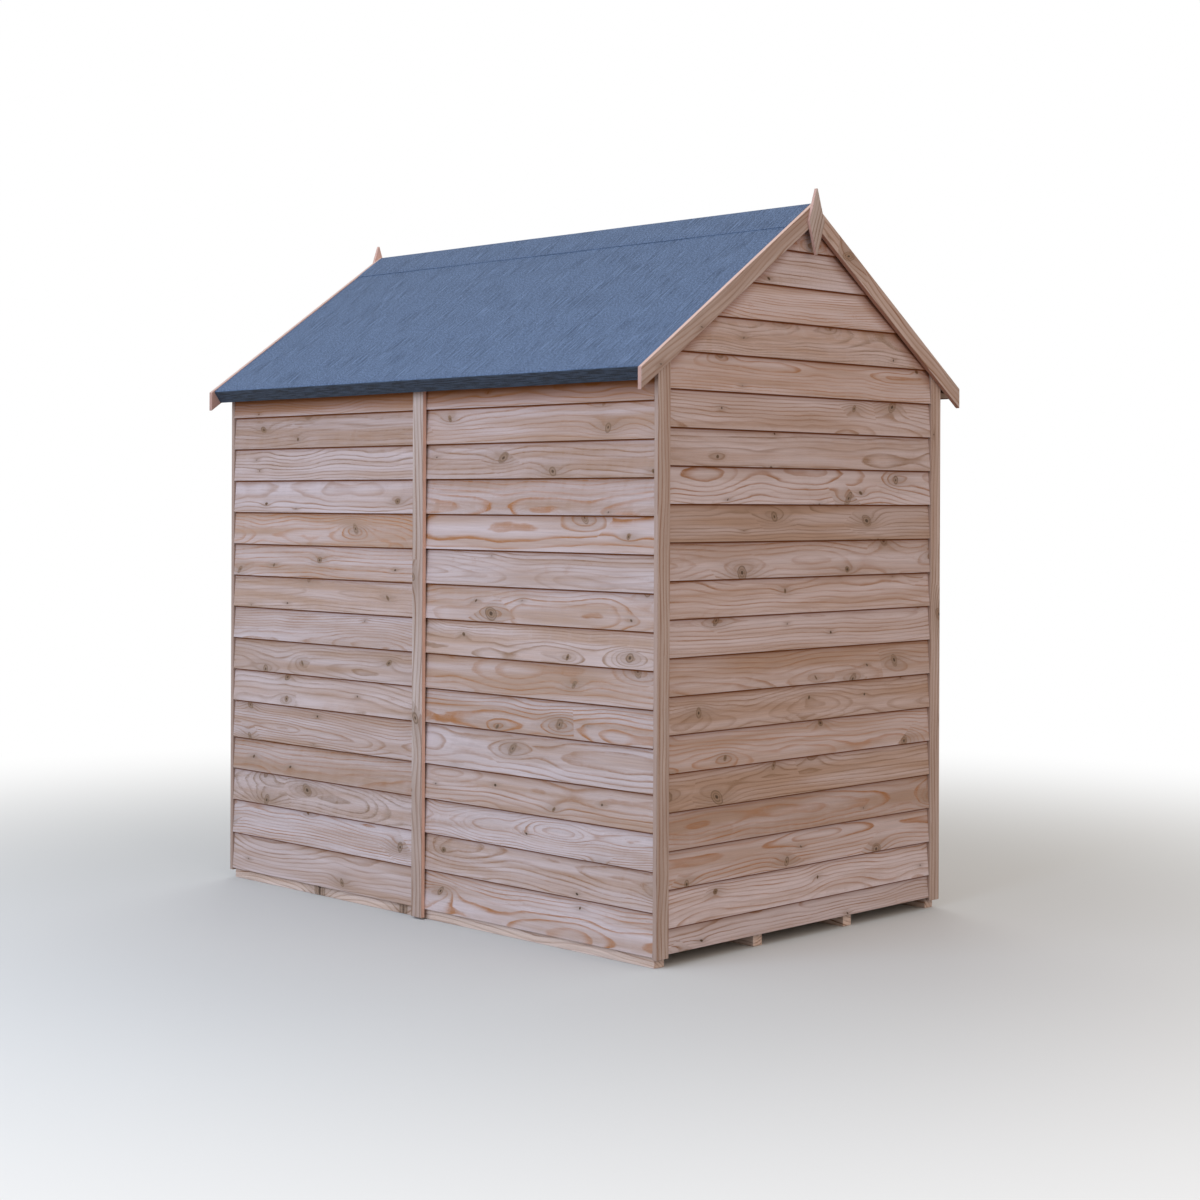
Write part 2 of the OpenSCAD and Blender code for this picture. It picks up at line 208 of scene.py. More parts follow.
def knots(tree, in_mm, shift, ripple, fade):
    """How near the closest knot is, its radius, and how far a point is inside it and in its dark."""
    cell_size = (1 / KNOT_SPACING[0], 1 / KNOT_SPACING[1], 0)
    place = add(tree, "VectorMath", [in_mm, cell_size], operation="MULTIPLY")
    place = add(tree, "VectorMath", [place, shift], operation="ADD")
    cells = add(tree, "TexVoronoi", {"Vector": place, "Scale": 1}, voronoi_dimensions="2D")
    off = add(tree, "VectorMath", [place, cells.outputs["Position"]], operation="SUBTRACT")
    off = add(tree, "VectorMath", [off, (*KNOT_SPACING, 0)], operation="MULTIPLY")
    off_u, off_v, _ = add(tree, "SeparateXYZ", [off]).outputs
    size_chance, lean_chance, squash_chance = add(tree, "SeparateColor", [cells.outputs["Color"]]).outputs
    there = add(tree, "Math", [size_chance, KNOTLESS], operation="GREATER_THAN")
    growth = add(tree, "MapRange", [size_chance, KNOTLESS, 1, 0, 1])
    growth = add(tree, "Math", [growth, KNOT_GROWTH], operation="POWER")
    radius = add(tree, "MapRange", [growth, 0, 1, *KNOT_RADII])
    radius = add(tree, "Math", [radius, there], operation="MULTIPLY")
    lean = add(tree, "MapRange", [lean_chance, 0, 1, *KNOT_LEAN])
    off_u = add(tree, "Math", [off_v, lean, off_u], operation="MULTIPLY_ADD")

    # The rings of the tree swell round a knot, further along the board than across it
    reach_u = add(tree, "Math", [radius, 3.2, 12], operation="MULTIPLY_ADD")
    reach_v = add(tree, "Math", [radius, 1.4, 4], operation="MULTIPLY_ADD")
    share_u = add(tree, "Math", [off_u, reach_u], operation="DIVIDE")
    share_v = add(tree, "Math", [off_v, reach_v], operation="DIVIDE")
    near = add(tree, "Math", [share_u, share_u], operation="MULTIPLY")
    near = add(tree, "Math", [share_v, share_v, near], operation="MULTIPLY_ADD")
    near = add(tree, "Math", [near, -1], operation="MULTIPLY")
    near = add(tree, "Math", [near], operation="EXPONENT")
    near = add(tree, "Math", [near, there], operation="MULTIPLY")

    # Distance from the knot's middle, a little ragged, and from its edge
    squash = add(tree, "MapRange", [squash_chance, 0, 1, *KNOT_SQUASH])
    wide = add(tree, "Math", [off_u, squash], operation="MULTIPLY")
    wide = add(tree, "Math", [wide, wide], operation="MULTIPLY")
    middle = add(tree, "Math", [off_v, off_v, wide], operation="MULTIPLY_ADD")
    middle = add(tree, "Math", [middle], operation="SQRT")
    middle = add(tree, "Math", [ripple, KNOT_RAGGED, middle], operation="MULTIPLY_ADD")
    middle = add(tree, "Math", [middle, KNOT_RAGGED / 2], operation="SUBTRACT")
    edge = add(tree, "Math", [middle, radius], operation="SUBTRACT")
    inside = add(tree, "MapRange", [edge, -1.6, 1.2, 1, 0], interpolation_type="SMOOTHSTEP")
    inside = add(tree, "Math", [inside, there], operation="MULTIPLY")

    # A small knot is dark all over, a large one at its rim, its rings and its heart
    rim = add(tree, "Math", [edge, 1.0], operation="ADD")
    rim = add(tree, "Math", [rim], operation="ABSOLUTE")
    rim = add(tree, "MapRange", [rim, 0.3, 1.8, 0.5, 0], interpolation_type="SMOOTHSTEP")
    broken = add(tree, "MapRange", [fade, 0.4, 0.6, 0.25, 1])
    rim = add(tree, "Math", [rim, broken], operation="MULTIPLY")
    heart = add(tree, "Math", [radius, -0.2, middle], operation="MULTIPLY_ADD")
    heart = add(tree, "MapRange", [heart, -1, 3.0, 0.85, 0], interpolation_type="SMOOTHSTEP")
    small = add(tree, "MapRange", [radius, 2.6, 9, 0.95, 0])
    dark = add(tree, "Math", [heart, rim], operation="MAXIMUM")
    dark = add(tree, "Math", [dark, small], operation="MAXIMUM")
    own_rings = add(tree, "Math", [middle, KNOT_RING], operation="PINGPONG")
    own_rings = add(tree, "MapRange", [own_rings, 1.6, 3.2, 0, 0.4], interpolation_type="SMOOTHSTEP")
    dark = add(tree, "Math", [own_rings, dark], operation="MAXIMUM")
    return near, radius, inside, dark


print("one knot or none in each", KNOT_SPACING[0], "by", KNOT_SPACING[1], "mm")

# %% [markdown]
# ### Year rings
#
# A point's ring is its distance from the tree's middle, counted in years. Waves push that distance
# about, so that the rings wander as in a real trunk, and a knot draws them round itself. Late wood
# darkens slowly through a year and ends at a sharp line when growth stops for the winter, so each
# line is a slow rise and a quick fall. Plain stripes could be bent instead, but stripes have no
# middle and so give no arches.

# %% Year rings
# Distance in millimetres of the board's face from the tree's middle, and of its upper edge from
# that line, for boards and for trim
FACE_DEPTHS = (10, 70)
BOARD_MIDDLES = (-120, 30)
TRIM_MIDDLES = (70, 180)
# How far each wave pushes the rings, in millimetres, and how far a knot does for each of its own
RING_PUSH = {"drift": 80, "taper": 100, "sway": 15, "ripple": 2.2}
KNOT_PUSH = -1.5
# How strong the line of the palest and of the darkest year is
YEAR_STRENGTHS = (0.37, 1.1)


def year_rings(tree, in_mm, seed, waves, swell, ring_mm, middle_mm):
    """How much a point is in the dark late wood that ends each year's ring."""
    _, v, t = add(tree, "SeparateXYZ", [in_mm]).outputs
    chance = add(tree, "TexWhiteNoise", {"W": seed}, noise_dimensions="1D").outputs["Color"]
    depth_chance, middle_chance, ring_chance = add(tree, "SeparateColor", [chance]).outputs
    depth = add(tree, "MapRange", [depth_chance, 0, 1, *FACE_DEPTHS])
    middle = add(tree, "MapRange", [middle_chance, 0, 1, *middle_mm])
    ring = add(tree, "MapRange", [ring_chance, 0, 1, *ring_mm])
    drift = add(tree, "Math", [waves["drift"], 0.5], operation="SUBTRACT")
    taper = add(tree, "Math", [waves["taper"], 0.5], operation="SUBTRACT")
    off = add(tree, "Math", [v, middle], operation="SUBTRACT")
    off = add(tree, "Math", [drift, RING_PUSH["drift"], off], operation="MULTIPLY_ADD")
    deep = add(tree, "Math", [t, depth], operation="ADD")
    deep = add(tree, "Math", [taper, RING_PUSH["taper"], deep], operation="MULTIPLY_ADD")
    radius = add(tree, "Math", [off, off], operation="MULTIPLY")
    radius = add(tree, "Math", [deep, deep, radius], operation="MULTIPLY_ADD")
    radius = add(tree, "Math", [radius], operation="SQRT")
    for wave in ("sway", "ripple"):
        radius = add(tree, "Math", [waves[wave], RING_PUSH[wave], radius], operation="MULTIPLY_ADD")
    radius = add(tree, "Math", [swell, KNOT_PUSH, radius], operation="MULTIPLY_ADD")
    rings = add(tree, "Math", [radius, ring], operation="DIVIDE")
    turn = add(tree, "Math", [rings], operation="FRACT")
    year = add(tree, "Math", [rings], operation="FLOOR")
    year = add(tree, "Math", [seed, 13, year], operation="MULTIPLY_ADD")
    year_chance = add(tree, "TexWhiteNoise", {"W": year}, noise_dimensions="1D").outputs["Value"]

    # Late wood darkens through the ring and ends sharply, more in some years than in others
    rise = add(tree, "MapRange", [turn, 0.3, 0.86, 0, 1], interpolation_type="SMOOTHSTEP")
    rise = add(tree, "Math", [rise, 2.6], operation="POWER")
    fall = add(tree, "MapRange", [turn, 0.9, 1, 1, 0], interpolation_type="SMOOTHSTEP")
    line = add(tree, "Math", [rise, fall], operation="MULTIPLY")
    strong = add(tree, "MapRange", [year_chance, 0, 1, *YEAR_STRENGTHS])
    line = add(tree, "Math", [line, strong], operation="MULTIPLY")
    strong = add(tree, "MapRange", [waves["fade"], 0.3, 0.6, 0.4, 1.0])
    return add(tree, "Math", [line, strong], operation="MULTIPLY")


print("the tree's middle lies", FACE_DEPTHS, "mm behind a face")

# %% [markdown]
# ### The colour of a board
#
# Planed and left bare, spruce is smooth but has no varnish: it looks matte, with only a faint sheen,
# and pale with a warm line a year. It greys where rain reaches it, in some boards more than in
# others and most round the knots. Light and shade are painted on as well: a warm, dark band of
# painted shade under the eave, a line and a wash of painted shadow below each barge board, a thin
# line below the lip of the board above that is partly dust and partly painted shade, a painted
# highlight on the tops of trim and bearers and painted shade on their undersides. All this could be
# painted on by hand, but rules that follow the height, the lips and the way a face points suit
# every board at once. Sawn timber is the same wood, left rough by the saw.

# %% Softwood
# Of these colours, the last is painted shade, under the eave and under trim, and the one before it is for
# a line below each lip, partly dust and partly painted shade, and for the painted shadow below barge
# boards
SPRUCE = {"early": "#cab8b6", "dull": "#ab8c79", "late": "#a86e42", "grey": "#856a54",
          "knot": "#8a6d55", "heart": "#412f22", "lip": "#7c4011", "warm_shade": "#8a4c0d"}
# Rise of the roof for each metre across
SLOPE = math.tan(math.radians(35.26))
# Depths below the roof, in metres, at which a side's painted eave shade is full and at which it ends:
# two strong changes close under the eave, and a slight one over the upper half of the wall
EAVE_SHADE_CHANGES = {0.92: (0.068, 0.098), 0.66: (0.08, 0.13), 0.1: (0.11, 0.9)}
# The gable has no overhang but its barge boards, below which a painted shadow lies in a line and a wash:
# depths at which it is full and at which it ends
BARGE_SHADOW_CHANGES = {0.8: (0.041, 0.047), 0.44: (0.047, 0.088)}
# A side's marks give way to the gable's over this width at the corner, in metres
CORNER_BLEND = 0.02
# Shares of grey round a knot, of painted shade on the underside of a piece of trim and of painted
# highlight on its top
KNOT_SMUDGE = 0.45
UNDERSIDE_SHADE = 0.5
TOP_HIGHLIGHT = 0.55
# Radii in millimetres from which a knot is paler, and by how much
PALE_KNOTS = (7, 13, 0, 0.42)
# Darkest and lightest fibre, and darkest and lightest board
SHADES = (0.92, 1.06)


def under_roof(tree):
    """How much painted shade the eave puts on a point of a side, and how much painted shadow lies on a
    point below a barge board.
    """
    x, _, z = add(tree, "SeparateXYZ", [add(tree, "TexCoord").outputs["Object"]]).outputs
    across = add(tree, "Math", [x], operation="ABSOLUTE")
    height = add(tree, "Math", [across, SLOPE, z], operation="MULTIPLY_ADD")
    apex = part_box("back_gable_cladding")[1].z
    warm_shade = 0
    for strength, (full_shade_depth, shade_end_depth) in EAVE_SHADE_CHANGES.items():
        change = add(tree, "MapRange", [height, apex - shade_end_depth, apex - full_shade_depth, 0, strength],
                     interpolation_type="SMOOTHSTEP")
        warm_shade = add(tree, "Math", [change, warm_shade], operation="MAXIMUM")
    gable_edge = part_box("back_gable_cladding")[1].x
    side = add(tree, "MapRange", [across, gable_edge, gable_edge + CORNER_BLEND, 0, 1])
    gable = add(tree, "MapRange", [across, gable_edge, gable_edge + CORNER_BLEND, 1, 0])
    warm_shade = add(tree, "Math", [warm_shade, side], operation="MULTIPLY")
    # Painted shadow on the gable below each barge board: a dark line and a wash
    barge_shadow = 0
    for strength, (shadow_full_depth, shadow_end_depth) in BARGE_SHADOW_CHANGES.items():
        change = add(tree, "MapRange", [height, apex - shadow_end_depth, apex - shadow_full_depth, 0, strength],
                     interpolation_type="SMOOTHSTEP")
        barge_shadow = add(tree, "Math", [change, barge_shadow], operation="MAXIMUM")
    return warm_shade, add(tree, "Math", [barge_shadow, gable], operation="MULTIPLY")


def softwood(name, colours, roughness, ring_mm=(5, 12), middle_mm=BOARD_MIDDLES, along=None,
             lip_mm=None):
    """Softwood with rings, knots and fibres, from a board's own coordinates or along an axis."""
    material, tree = new_material(name)
    tint = {part: linear(colour) for part, colour in colours.items()}
    in_mm, seed, shift = board_place(tree, along)
    waves = grain_waves(tree, in_mm, shift)
    near, knot_radius, inside, dark = knots(tree, in_mm, shift, waves["ripple"], waves["fade"])
    swell = add(tree, "Math", [near, knot_radius], operation="MULTIPLY")
    line = year_rings(tree, in_mm, seed, waves, swell, ring_mm, middle_mm)

    next_seed = add(tree, "Math", [seed, 7.7], operation="ADD")
    chance = add(tree, "TexWhiteNoise", {"W": next_seed}, noise_dimensions="1D").outputs["Color"]
    dull_chance, shade_chance, grey_chance = add(tree, "SeparateColor", [chance]).outputs
    dullness = add(tree, "MapRange", [waves["cloud"], 0.35, 0.65, -0.25, 0.35])
    dullness = add(tree, "Math", [dull_chance, 0.8, dullness], operation="MULTIPLY_ADD", use_clamp=True)
    wood = add(tree, "Mix", [dullness, tint["early"], tint["dull"]], data_type="RGBA")
    greyness = add(tree, "Math", [grey_chance, 0.75], operation="POWER")
    late = add(tree, "Mix", [greyness, tint["late"], tint["grey"]], data_type="RGBA")
    wood = add(tree, "Mix", [line, wood, late], data_type="RGBA")
    smudge = add(tree, "Math", [near, KNOT_SMUDGE], operation="MULTIPLY")
    wood = add(tree, "Mix", [smudge, wood, tint["grey"]], data_type="RGBA")
    pale = add(tree, "MapRange", [knot_radius, *PALE_KNOTS])
    knot_wood = add(tree, "Mix", [pale, tint["knot"], wood], data_type="RGBA")
    knot_wood = add(tree, "Mix", [dark, knot_wood, tint["heart"]], data_type="RGBA")
    wood = add(tree, "Mix", [inside, wood, knot_wood], data_type="RGBA")
    if lip_mm:
        warm_shade, below = under_roof(tree)
        # Painted shade of the eave: a warm, dark band close under the roof
        wood = add(tree, "Mix", [warm_shade, wood, tint["warm_shade"]], data_type="RGBA")
        v = add(tree, "SeparateXYZ", [in_mm]).outputs["Y"]
        # Below each lip a line and a wash darken the wood: partly dust and partly painted shade. The
        # painted shadow below barge boards takes the same colour
        for strength, (mark_end_v, mark_full_v) in lip_mm.items():
            stain = add(tree, "MapRange", [v, -mark_end_v, -mark_full_v, 0, strength],
                        interpolation_type="SMOOTHSTEP")
            below = add(tree, "Math", [stain, below], operation="MAXIMUM")
        wood = add(tree, "Mix", [below, wood, tint["lip"]], data_type="RGBA")
    # Edges and backs take their own warm colour, a painted shade
    if along is None:
        edge = add(tree, "Attribute", attribute_name="edge").outputs
        wood = add(tree, "Mix", [edge["Alpha"], wood, edge["Color"]], data_type="RGBA")
    if "top_highlight" in tint:
        upward = add(tree, "SeparateXYZ", [add(tree, "NewGeometry").outputs["Normal"]]).outputs["Z"]
        # Painted shade: faces that point down take the warm dark colour
        shaded_underside = add(tree, "MapRange", [upward, -0.8, -0.6, UNDERSIDE_SHADE, 0])
        wood = add(tree, "Mix", [shaded_underside, wood, tint["warm_shade"]], data_type="RGBA")
        # Painted highlight: faces that point up are painted paler
        lit_top = add(tree, "MapRange", [upward, 0.6, 0.8, 0, TOP_HIGHLIGHT])
        wood = add(tree, "Mix", [lit_top, wood, tint["top_highlight"]], data_type="RGBA")
    light = add(tree, "MapRange", [waves["fibre"], 0.3, 0.7, *SHADES])
    shade = add(tree, "MapRange", [shade_chance, 0, 1, *SHADES])
    light = add(tree, "Math", [light, shade], operation="MULTIPLY")
    if along is None:
        tone = add(tree, "Attribute", attribute_name="tone").outputs["Fac"]
        light = add(tree, "Math", [light, tone], operation="MULTIPLY")
    wood = add(tree, "VectorMath", {"Vector": wood, "Scale": light}, operation="SCALE")

    # Late wood stands a little proud of the softer early wood, and fibres roughen the whole
    relief = add(tree, "Math", [waves["fibre"], 0.35, line], operation="MULTIPLY_ADD")
    bump = add(tree, "Bump", {"Strength": 0.5, "Distance": 0.0004, "Height": relief})
    shader = add(tree, "BsdfPrincipled",
                 {"Base Color": wood, "Roughness": roughness, "IOR": 1.5, "Specular IOR Level": 0.2,
                  "Normal": bump})
    add(tree, "OutputMaterial", [shader])
    print(name, "has", len(tree.nodes), "nodes")
    return material


# Millimetres below a lip at which its mark ends and at which it is full: a dark line and a wash, partly
# dust and partly painted shade
LIP_DUST_AND_SHADE = {0.95: (6.4, 2.2), 0.19: (18, 6)}
TRIM = dict(SPRUCE, early="#c0ada3", dull="#a68c7e", late="#8f5c3a", grey="#7d6350", top_highlight="#f0cfbd")
SAWN = dict(SPRUCE, early="#c4a78f", dull="#b08a6c")
# Planed and weathered: matte, with arches and knots that tell the boards apart
planed_boards = softwood("planed_spruce_boards", SPRUCE, roughness=0.72, lip_mm=LIP_DUST_AND_SHADE)
# Planed strips, cut further from the tree's middle: straight grain in wider rings
planed_trim = softwood("planed_spruce_trim", TRIM, roughness=0.7, ring_mm=(9, 16),
                       middle_mm=TRIM_MIDDLES)
# Sawn and kept dry: rough, dull and warmer, with the grain along each piece
sawn = {}
for axis in "XYZ":
    sawn[axis] = softwood("sawn_spruce_" + axis.lower(), SAWN, roughness=0.85, along=axis)

# %% [markdown]
# ## Planks
#
# Every timber piece of the shed is a plank: a flat outline with a thickness and eased edges. One
# function cuts a plank from its outline, in millimetres, and another lays a set of planks where
# their placing matrices say, joined as one mesh. Real boards bow a little, so a long plank is
# divided along its length and given a shallow wave. A modifier could round the edges later, but
# cutting them here keeps each plank a closed solid with its grain coordinates on it.

# %% Cutting and laying planks
MM = 0.001
# How much an edge is rounded, in millimetres, and the angle above which an edge looks sharp
EASED = 1.2
SHARP_ANGLE = math.radians(20)
# Lengths of a board's wave, in millimetres, and the turn of a full one
BOW_WAVES = (450, 900)
FULL_WAVE = 6.28
chances = random.Random(20)


def placing(origin, along, across, inward):
    """Matrix from a plank's coordinates in millimetres to the shed's in metres."""
    columns = [Vector(axis) * MM for axis in (along, across, inward, origin)]
    rows = [[column[row] for column in columns] for row in range(3)]
    return Matrix(rows + [[0, 0, 0, 1]])


def cut_plank(outline, thickness, eased, pieces_along):
    """A plank with eased edges, divided along its length, from its outline along and across."""
    plank = bmesh.new()
    near = [plank.verts.new((u, v, 0)) for u, v in outline]
    far = [plank.verts.new((u, v, thickness)) for u, v in outline]
    plank.faces.new(near)
    plank.faces.new(far[::-1])
    for i in range(len(outline)):
        plank.faces.new([near[i - 1], near[i], far[i], far[i - 1]])
    bmesh.ops.recalc_face_normals(plank, faces=plank.faces[:])
    bmesh.ops.bevel(plank, geom=plank.edges[:], offset=eased, segments=2, profile=0.5,
                    affect="EDGES", clamp_overlap=True)
    first = min(u for u, _ in outline)
    last = max(u for u, _ in outline)
    for i in range(1, pieces_along):
        u = first + (last - first) * i / pieces_along
        bmesh.ops.bisect_plane(plank, geom=plank.verts[:] + plank.edges[:] + plank.faces[:],
                               plane_co=(u, 0, 0), plane_no=(1, 0, 0))
    return plank


def lay_planks(name, planks, material, slot, *nodes, thickness, eased=EASED, bow=0.0, pieces_along=1,
               tone=1.0, edge=None):
    """Joins planks in one object that stands for CAD nodes.

    A plank is an outline, its placing and the height across it at which its grain has its zero. The
    tone makes a piece lighter or darker than the rest of its timber, and edge colours its sides.
    """
    points, faces, grain, seeds, sides = [], [], [], [], []
    bare = [0, 0, 0, 0]
    side_colour = linear(edge) if edge else bare
    for outline, place, middle_v in planks:
        plank = cut_plank(outline, thickness, eased, pieces_along)
        seed = chances.uniform(0, 1000)
        phase = chances.uniform(0, FULL_WAVE)
        wave_mm = chances.uniform(*BOW_WAVES)
        first = len(points)
        plank.verts.index_update()
        for vert in plank.verts:
            u, v, t = vert.co
            wave = bow * math.sin(FULL_WAVE * u / wave_mm + phase)
            points.append(place @ Vector((u, v, t + wave)))
            grain.append(Vector((u, v - middle_v, t)) * MM)
            seeds.append(seed)
            sides += side_colour if t > eased / 2 else bare
        faces += [[first + vert.index for vert in face.verts] for face in plank.faces]
        plank.free()
    piece = mesh_piece(name, points, faces, material, slot, nodes, grain, seeds)
    tones = piece.data.attributes.new("tone", "FLOAT", "POINT")
    tones.data.foreach_set("value", [tone] * len(points))
    edges = piece.data.attributes.new("edge", "FLOAT_COLOR", "POINT")
    edges.data.foreach_set("color", sides)
    return piece


def mesh_piece(name, points, faces, material, slot, nodes, grain=None, seeds=None):
    """Makes one mesh object of closed solids that rides on the shed and stands for CAD nodes."""
    mesh = bpy.data.meshes.new(name)
    mesh.from_pydata(points, [], faces)
    if grain:
        places = mesh.attributes.new("grain", "FLOAT_VECTOR", "POINT")
        places.data.foreach_set("vector", [c for place in grain for c in place])
        numbers = mesh.attributes.new("seed", "FLOAT", "POINT")
        numbers.data.foreach_set("value", seeds)
    tidy = bmesh.new()
    tidy.from_mesh(mesh)
    bmesh.ops.recalc_face_normals(tidy, faces=tidy.faces[:])
    tidy.to_mesh(mesh)
    tidy.free()
    mesh.shade_smooth()
    mesh.set_sharp_from_angle(angle=SHARP_ANGLE)
    mesh.materials.append(material)
    piece = bpy.data.objects.new(name, mesh)
    scene.collection.objects.link(piece)
    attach(piece, "root")
    if nodes:
        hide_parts(*nodes)
    print(name, "has", len(mesh.polygons), "faces")
    return piece


def box_mm(node):
    """A node's lowest and highest corners in millimetres."""
    low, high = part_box(node)
    return low / MM, high / MM


print("planks are cut with edges eased by", EASED, "mm")

# %% [markdown]
# ## Overlap boards
#
# Overlap cladding is nailed up from the ground. Each board leans out at its foot to lap over the
# head of the one below, so a wall is a flight of shallow steps with a line of shade under each
# lip. The CAD keeps a wall in one stepped solid. Here every board is a plank of its own, as a
# displacement map could not give separate edges, with its own grain. The heights of the lips are
# those of the part's source: full courses of 97 mm above a few odd ones near the ground.

# %% Sizes of the walls
# Height of a course between lips, thickness of a board and how far it runs up behind the next
COURSE = 97
BOARD_T = 8
BOARD_LAP = 23
# Odd courses near the ground, as shares of a full one
SIDE_SHARES = (1.153, 1.057, 1, 1, 1.18)
GABLE_SHARES = (0.663,)
# A lower rest than this is left off, and the top board stops this far short of the apex
LEAST_BOARD = 3
TIP_GAP = 1
# How far boards bow in and out
BOARD_BOW = 0.4
DOOR_BOW = 0.3
# A board's edges and back take a warm red-brown, painted shade that warms the shade under each lip
BOARD_EDGE_SHADE = "#96562f"

side_low, side_high = box_mm("right_back_cladding")
gable_low, gable_high = box_mm("back_gable_cladding")
door_low, door_high = box_mm("door_boards")
head_low, head_high = box_mm("door_head_cladding")
side_face = side_high.x
gable_face = gable_high.y
gable_half = gable_high.x
roof_apex = gable_high.z
gable_top = roof_apex - TIP_GAP
side_top = roof_apex - SLOPE * side_face


def lip_heights(foot, shares):
    """Heights of a wall's lips from its foot to above the roof."""
    lips = [foot]
    while lips[-1] < roof_apex:
        course = len(lips) - 1
        lips.append(lips[-1] + COURSE * (shares[course] if course < len(shares) else 1))
    return lips


side_lips = lip_heights(side_low.z, SIDE_SHARES)
gable_lips = lip_heights(gable_low.z, GABLE_SHARES)
print(len(side_lips), "lips on a side and", len(gable_lips), "on a gable")


# %% Overlap walls
def clip(outline, across, up, most):
    """The part of an outline at which across times u plus up times v is at most a value."""
    kept = []
    for (u0, v0), (u1, v1) in zip(outline, outline[1:] + outline[:1]):
        over0 = across * u0 + up * v0 - most
        over1 = across * u1 + up * v1 - most
        if over0 <= 0:
            kept.append((u0, v0))
        if over0 * over1 < 0:
            share = over0 / (over0 - over1)
            kept.append((u0 + share * (u1 - u0), v0 + share * (v1 - v0)))
    return kept


def overlap_boards(lips, place_board, left, right, bottom, top, to_roof=False):
    """Boards that cover a wall from left to right and from bottom to top, or up to the roof."""
    boards = []
    for low, high in zip(lips, lips[1:]):
        foot = max(low, bottom)
        head = min(high + BOARD_LAP, top)
        if head - foot < LEAST_BOARD or low >= top:
            continue
        outline = [(left, foot - low), (right, foot - low), (right, head - low), (left, head - low)]
        if to_roof:
            outline = clip(outline, SLOPE, 1, roof_apex - low)
            outline = clip(outline, -SLOPE, 1, roof_apex - low)
        if len(outline) > 2:
            boards.append((outline, place_board(low, BOARD_T / (high - low)), high - low))
    return boards


def on_side(sign):
    """Placing of a board on a side, from the height of its lip and its lean."""
    def place_board(low, lean):
        return placing((sign * side_face, 0, low), (0, 1, 0), (-sign * lean, 0, 1), (-sign, 0, 0))
    return place_board


def on_gable(sign):
    """Placing of a board on a gable, from the height of its lip and its lean."""
    def place_board(low, lean):
        return placing((0, sign * gable_face, low), (1, 0, 0), (0, -sign * lean, 1), (0, -sign, 0))
    return place_board


for side, sign in (("right", 1), ("left", -1)):
    for end in ("back", "front"):
        node = f"{side}_{end}_cladding"
        low, high = box_mm(node)
        boards = overlap_boards(side_lips, on_side(sign), low.y, high.y, side_low.z, side_top)
        lay_planks(f"{side}_{end}_boards", boards, planed_boards, "cladding", node,
                   thickness=BOARD_T, bow=BOARD_BOW, pieces_along=12, edge=BOARD_EDGE_SHADE)

boards = overlap_boards(gable_lips, on_gable(1), -gable_half, gable_half, gable_low.z, gable_top, True)
lay_planks("back_gable_boards", boards, planed_boards, "cladding", "back_gable_cladding",
           thickness=BOARD_T, bow=BOARD_BOW, pieces_along=14, edge=BOARD_EDGE_SHADE)

# Boards of the front run on above the door, and the one at its head is notched over it
notch_lip = max(lip for lip in gable_lips if lip < head_low.z)
above = [lip for lip in gable_lips if lip > notch_lip]
beside = [lip for lip in gable_lips if lip <= notch_lip]
front_boards = overlap_boards(above, on_gable(-1), -gable_half, gable_half, gable_low.z, gable_top, True)
for left, right in ((-gable_half, head_low.x), (head_high.x, gable_half)):
    front_boards += overlap_boards(beside, on_gable(-1), left, right, gable_low.z, gable_top, True)
notch_course = above[0] - notch_lip
notch_head = notch_course + BOARD_LAP
notch_top = head_low.z - notch_lip
outline = [(-gable_half, 0), (head_low.x, 0), (head_low.x, notch_top), (head_high.x, notch_top),
           (head_high.x, 0), (gable_half, 0), (gable_half, notch_head), (-gable_half, notch_head)]
for across in (SLOPE, -SLOPE):
    outline = clip(outline, across, 1, roof_apex - notch_lip)
front_boards.append((outline, on_gable(-1)(notch_lip, BOARD_T / notch_course), notch_course))
lay_planks("front_gable_boards", front_boards, planed_boards, "cladding",
           "door_left_cladding", "door_right_cladding", "door_head_cladding",
           thickness=BOARD_T, edge=BOARD_EDGE_SHADE)

boards = overlap_boards(gable_lips, on_gable(-1), door_low.x, door_high.x, door_low.z, door_high.z)
lay_planks("door_leaf_boards", boards, planed_boards, "cladding", "door_boards",
           thickness=BOARD_T, bow=DOOR_BOW, pieces_along=6, edge=BOARD_EDGE_SHADE)

# %% [markdown]
# ## Strips, barge boards and finials
#
# Thin planed strips cover the corners and the joints of the panels, barge boards finish the ends
# of the roof, and a diamond finial covers the joint of each pair of barge boards. They are the
# same planks with other outlines, with the grain along their length, or on the slant in a finial.
# Each is a little lighter or darker than the next, and its edge faces take a warm colour of their
# own, painted shade that gives the shade on them a warm tone. The outlines could be read off the
# CAD meshes, but a few lines of geometry keep the eased edges clean.

# %% Trim
TRIM_T = 13.5
TRIM_EASED = 1.5
FINIAL_EASED = 0.8
# Widths of a finial at its tips
FINIAL_TOP = 3
FINIAL_FOOT = 4
PITCH = math.atan(SLOPE)
# How light each piece is beside the rest of its timber, and the warm colours painted on its edge faces as
# painted shade
CORNER_TONES = {"right": 1.04, "left": 1.14}
BARGE_TONES = {"right": 0.94, "left": 1.14}
FINIAL_TONE = 0.96
JOINT_TONE = 1.02
TRIM_EDGE_SHADES = {"corner": "#a78c7e", "barge": "#bd9587", "finial": "#d3aa9b", "joint": "#dbb09b"}


def roof_under(x):
    """Height of the roof's underside at a distance from the middle."""
    return roof_apex - SLOPE * x


def turned(corners, angle):
    """Corners of an outline, turned about its zero."""
    return [(a * math.cos(angle) - b * math.sin(angle), a * math.sin(angle) + b * math.cos(angle))
            for a, b in corners]


def outer_face(low, high, front):
    """Distance from the middle to the outer face of a piece on the back or front."""
    return high.y if front == 1 else -low.y


